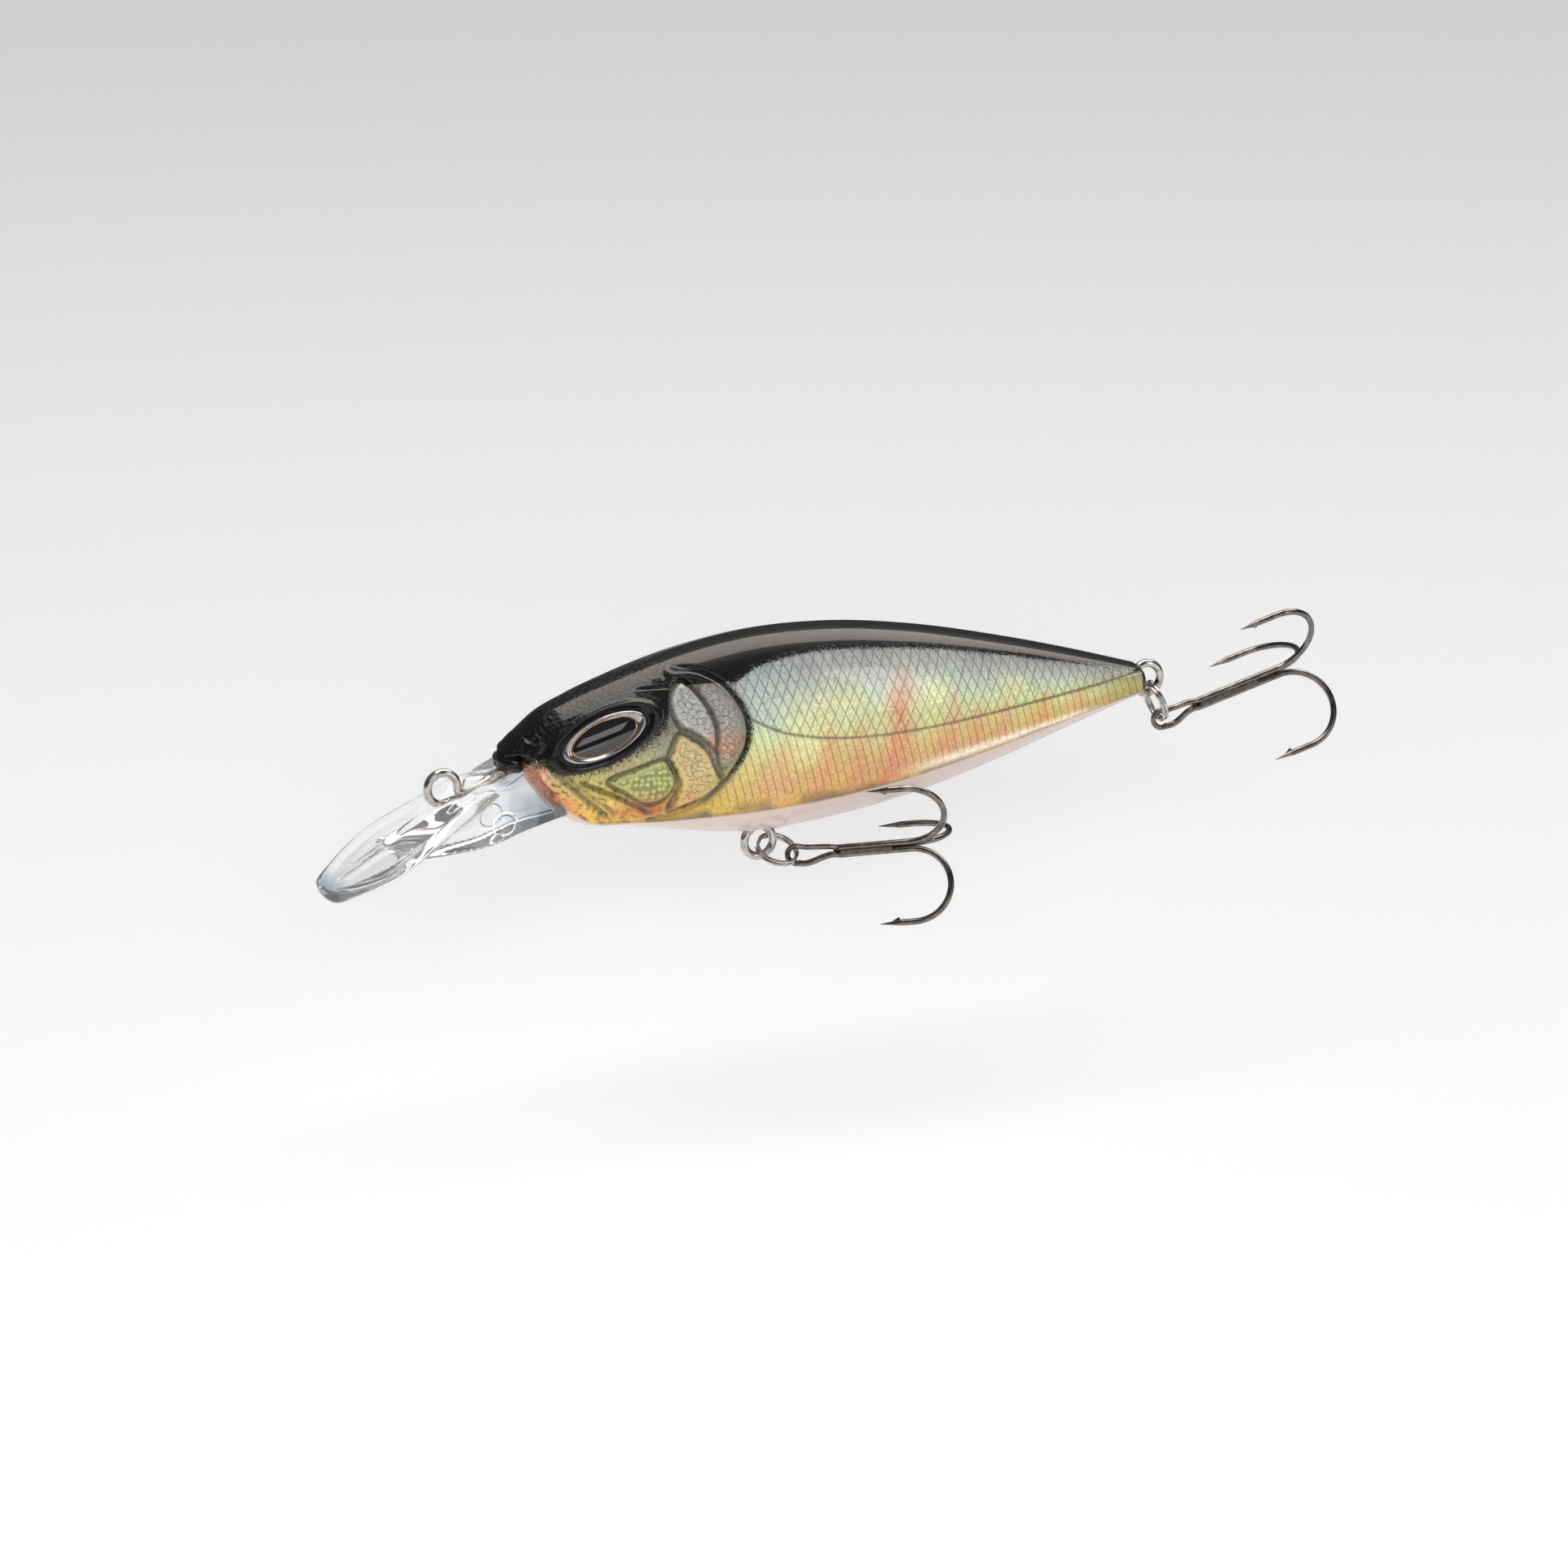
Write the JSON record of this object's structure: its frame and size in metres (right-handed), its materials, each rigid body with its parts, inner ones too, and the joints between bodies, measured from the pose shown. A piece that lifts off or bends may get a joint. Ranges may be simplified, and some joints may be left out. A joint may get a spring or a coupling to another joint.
{
  "type": "crankbait fishing lure",
  "caption": "Hard-bodied diving lure with a clear angled lip, a wire line-tie eye, and a treble hook hung by a split ring under the belly and at the tail.",
  "frame": {"origin": "centre of the line-tie eye that stands on the diving lip", "axes": "+X from the nose to the tail, -Y to the lure's left flank, +Z to its back"},
  "size_m": [0.1161, 0.0202, 0.0313],
  "materials": {
    "hull_print": "printed foil pattern under gloss clear coat",
    "clear_lip": "clear polycarbonate, polished",
    "stainless_wire": "bright drawn wire",
    "eye_lens": "clear domed acrylic",
    "eye_foil": "mirror foil with a thin gold ring",
    "ballast_brass": "turned",
    "ball_steel": "polished ball",
    "nickel_ring": "nickel plated spring wire",
    "black_nickel": "black nickel plating",
    "braze": "brazing alloy under black nickel plating"
  },
  "bodies": {
    "hull": {"body_shell_left": "hull_print", "body_shell_right": "hull_print", "diving_lip": "clear_lip", "line_tie_wire": "stainless_wire", "belly_hanger": "stainless_wire", "tail_hanger": "stainless_wire", "eye_lens_left": "eye_lens", "eye_lens_right": "eye_lens", "eye_iris_left": "eye_foil", "eye_iris_right": "eye_foil", "belly_ballast": "ballast_brass"},
    "front_ring": {"front_split_ring": "nickel_ring"},
    "front_treble": {"front_hook_pair": "black_nickel", "front_hook_third": "black_nickel", "front_hook_braze": "braze"},
    "rear_ring": {"rear_split_ring": "nickel_ring"},
    "rear_treble": {"rear_hook_pair": "black_nickel", "rear_hook_third": "black_nickel", "rear_hook_braze": "braze"},
    "front_rattle": {"rattle_ball_front": "ball_steel"},
    "rear_rattle": {"rattle_ball_rear": "ball_steel"}
  },
  "joints": [
    {"name": "front_ring_swing", "type": "hinge", "parent": "hull", "child": "front_ring", "pos_m": [0.0356, 0, -0.00975], "axis": [0, 1, 0], "range_deg": [-4, 140]},
    {"name": "front_treble_swing", "type": "hinge", "parent": "front_ring", "child": "front_treble", "pos_m": [0.0374, -0.00085, -0.0107], "axis": [0.1298, -0.4593, 0.8787], "range_deg": [-60, 5]},
    {"name": "rear_ring_swing", "type": "hinge", "parent": "hull", "child": "rear_ring", "pos_m": [0.08245, 0, 0.00158], "axis": [0.9205, 0, 0.3907], "range_deg": [-60, 60]},
    {"name": "rear_treble_swing", "type": "hinge", "parent": "rear_ring", "child": "rear_treble", "pos_m": [0.08367, -0.00006, -0.00161], "axis": [0, 1, 0], "range_deg": [-40, 130]},
    {"name": "front_rattle_slide", "type": "slide", "parent": "hull", "child": "front_rattle", "axis": [1, 0, 0], "range_m": [-0.00155, 0.00155]},
    {"name": "rear_rattle_slide", "type": "slide", "parent": "hull", "child": "rear_rattle", "axis": [1, 0, 0], "range_m": [-0.00155, 0.00155]}
  ]
}
